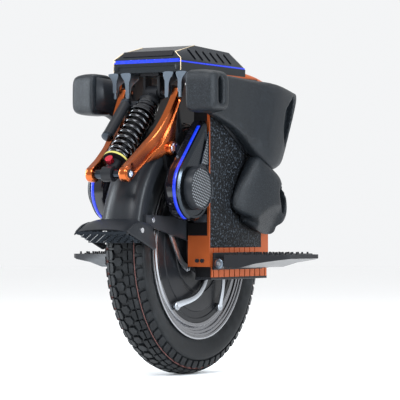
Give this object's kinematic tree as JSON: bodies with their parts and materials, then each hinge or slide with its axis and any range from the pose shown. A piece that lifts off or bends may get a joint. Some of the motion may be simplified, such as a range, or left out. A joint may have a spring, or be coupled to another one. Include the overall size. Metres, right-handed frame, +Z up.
{
  "type": "electric unicycle",
  "caption": "Electric unicycle with sprung wheel carrier, copper rocker arms over a coil shock, battery side cases, leg pads, light strips and fold-up pedals.",
  "frame": {"origin": "on the ground under the tyre's contact, at the middle of the unicycle's length and width", "axes": "+Z up, -Y towards the front, +X towards the rider's left"},
  "size_m": [0.51, 0.5784, 0.6595],
  "materials": {
    "copper_paint": "satin copper",
    "grip_tape": "coarse mineral grip",
    "black_metal": "satin black",
    "battery_wrap": "shrink wrap",
    "dark_plastic": "satin black",
    "gloss_black": "mirror gloss",
    "led_blue": "lit strip",
    "circuit": "soldermask",
    "grey_metal": "blasted",
    "steel": "brushed",
    "foam": "moulded foam skin",
    "mesh": "woven",
    "orange_tube": "gloss orange",
    "red_lens": "lens",
    "dark_metal": "black anodised",
    "fender_plastic": "satin black",
    "winding": "wound copper",
    "tyre": "moulded rubber",
    "rim_metal": "machined",
    "motor_black": "black",
    "bright_alloy": "machined",
    "forged_copper": "anodised copper",
    "bolt_steel": "polished",
    "spring_steel": "gloss black",
    "knob_red": "anodised red",
    "display_glass": "smoked"
  },
  "bodies": {
    "chassis": {"case_left": "copper_paint", "case_right": "copper_paint", "grip_panel_left": "grip_tape", "grip_panel_right": "grip_tape", "heat_plates": "copper_paint", "base_rails": "black_metal", "battery_packs": "battery_wrap", "head_tray": "dark_plastic", "head_cover": "dark_plastic", "head_light_strips": "led_blue", "headlight_panel": "gloss_black", "control_board": "circuit", "display": "display_glass", "claw_plates": "grey_metal", "shock_mount": "black_metal", "hinge_pins": "steel", "upper_pad_left": "foam", "upper_pad_right": "foam", "lower_pad_left": "foam", "lower_pad_right": "foam", "pad_plates": "dark_plastic", "pod_left": "gloss_black", "pod_right": "gloss_black", "pod_light_strips": "led_blue", "speakers": "dark_plastic", "speaker_grilles": "mesh", "mesh_inserts": "mesh", "guide_rods": "steel", "rocker_brackets": "black_metal", "rear_handle": "orange_tube", "tail_light": "red_lens", "pedal_hangers": "black_metal", "case_bolts": "black_metal"},
    "power_button": {"power_button": "dark_plastic"},
    "carrier": {"fork_left": "dark_metal", "fork_right": "dark_metal", "front_mudguard": "fender_plastic", "fender_lip": "fender_plastic", "fender_bolts": "steel", "rear_mudguard": "fender_plastic", "axle": "steel", "axle_clamps": "dark_metal", "motor_stator": "winding"},
    "wheel": {"tyre": "tyre", "rim": "rim_metal", "motor_covers": "motor_black", "hub_spokes": "bright_alloy", "wheel_bearings": "steel"},
    "rocker": {"rocker_arm_left": "forged_copper", "rocker_arm_right": "forged_copper", "cross_shaft": "steel", "shaft_sleeves": "dark_metal", "pivot_bolts": "bolt_steel"},
    "shock_upper": {"shock_body": "black_metal", "shock_spring": "spring_steel"},
    "shock_lower": {"shock_shaft": "black_metal"},
    "rebound_knob": {"rebound_knob": "knob_red"},
    "pedal_left": {"pedal_left": "black_metal"},
    "pedal_right": {"pedal_right": "black_metal"}
  },
  "joints": [
    {"name": "suspension", "type": "slide", "parent": "chassis", "child": "carrier", "axis": [0, 0.4226, 0.9063], "range_m": [0, 0.06], "stiffness_N_per_m": 15000, "springref_m": -0.02},
    {"name": "wheel_spin", "type": "hinge", "parent": "carrier", "child": "wheel", "pos_m": [0, 0.0285, 0.254], "axis": [1, 0, 0], "continuous": true},
    {"name": "rocker_turn", "type": "hinge", "parent": "chassis", "child": "rocker", "pos_m": [0, -0.12652, 0.45001], "axis": [-1, 0, 0], "range_deg": [0, 26]},
    {"name": "shock_swing", "type": "hinge", "parent": "chassis", "child": "shock_upper", "pos_m": [0, -0.08729, 0.56206], "axis": [-1, 0, 0], "range_deg": [0, 14.28]},
    {"name": "shock_stroke", "type": "slide", "parent": "shock_upper", "child": "shock_lower", "axis": [0, 0.7116, 0.7026], "range_m": [0, 0.02941], "deforming": ["shock_spring"]},
    {"name": "rebound_dial", "type": "hinge", "parent": "shock_lower", "child": "rebound_knob", "pos_m": [0, -0.23924, 0.41203], "axis": [0, -0.7026, 0.7116], "range_deg": [0, 300]},
    {"name": "pedal_fold_left", "type": "hinge", "parent": "chassis", "child": "pedal_left", "pos_m": [0.12, 0.0595, 0.224], "axis": [0, -1, 0], "range_deg": [0, 60]},
    {"name": "pedal_fold_right", "type": "hinge", "parent": "chassis", "child": "pedal_right", "pos_m": [-0.12, 0.0595, 0.224], "axis": [0, 1, 0], "range_deg": [0, 60]},
    {"name": "power_press", "type": "slide", "parent": "chassis", "child": "power_button", "axis": [0, 0, -1], "range_m": [0, 0.002], "stiffness_N_per_m": 600, "springref_m": -0.001}
  ],
  "couplings": [
    {"joint": "rocker_turn", "follows": "suspension", "rad_per_m": 7.5631},
    {"joint": "shock_swing", "follows": "suspension", "rad_per_m": 4.1534},
    {"joint": "shock_stroke", "follows": "suspension", "ratio": 0.4901}
  ]
}
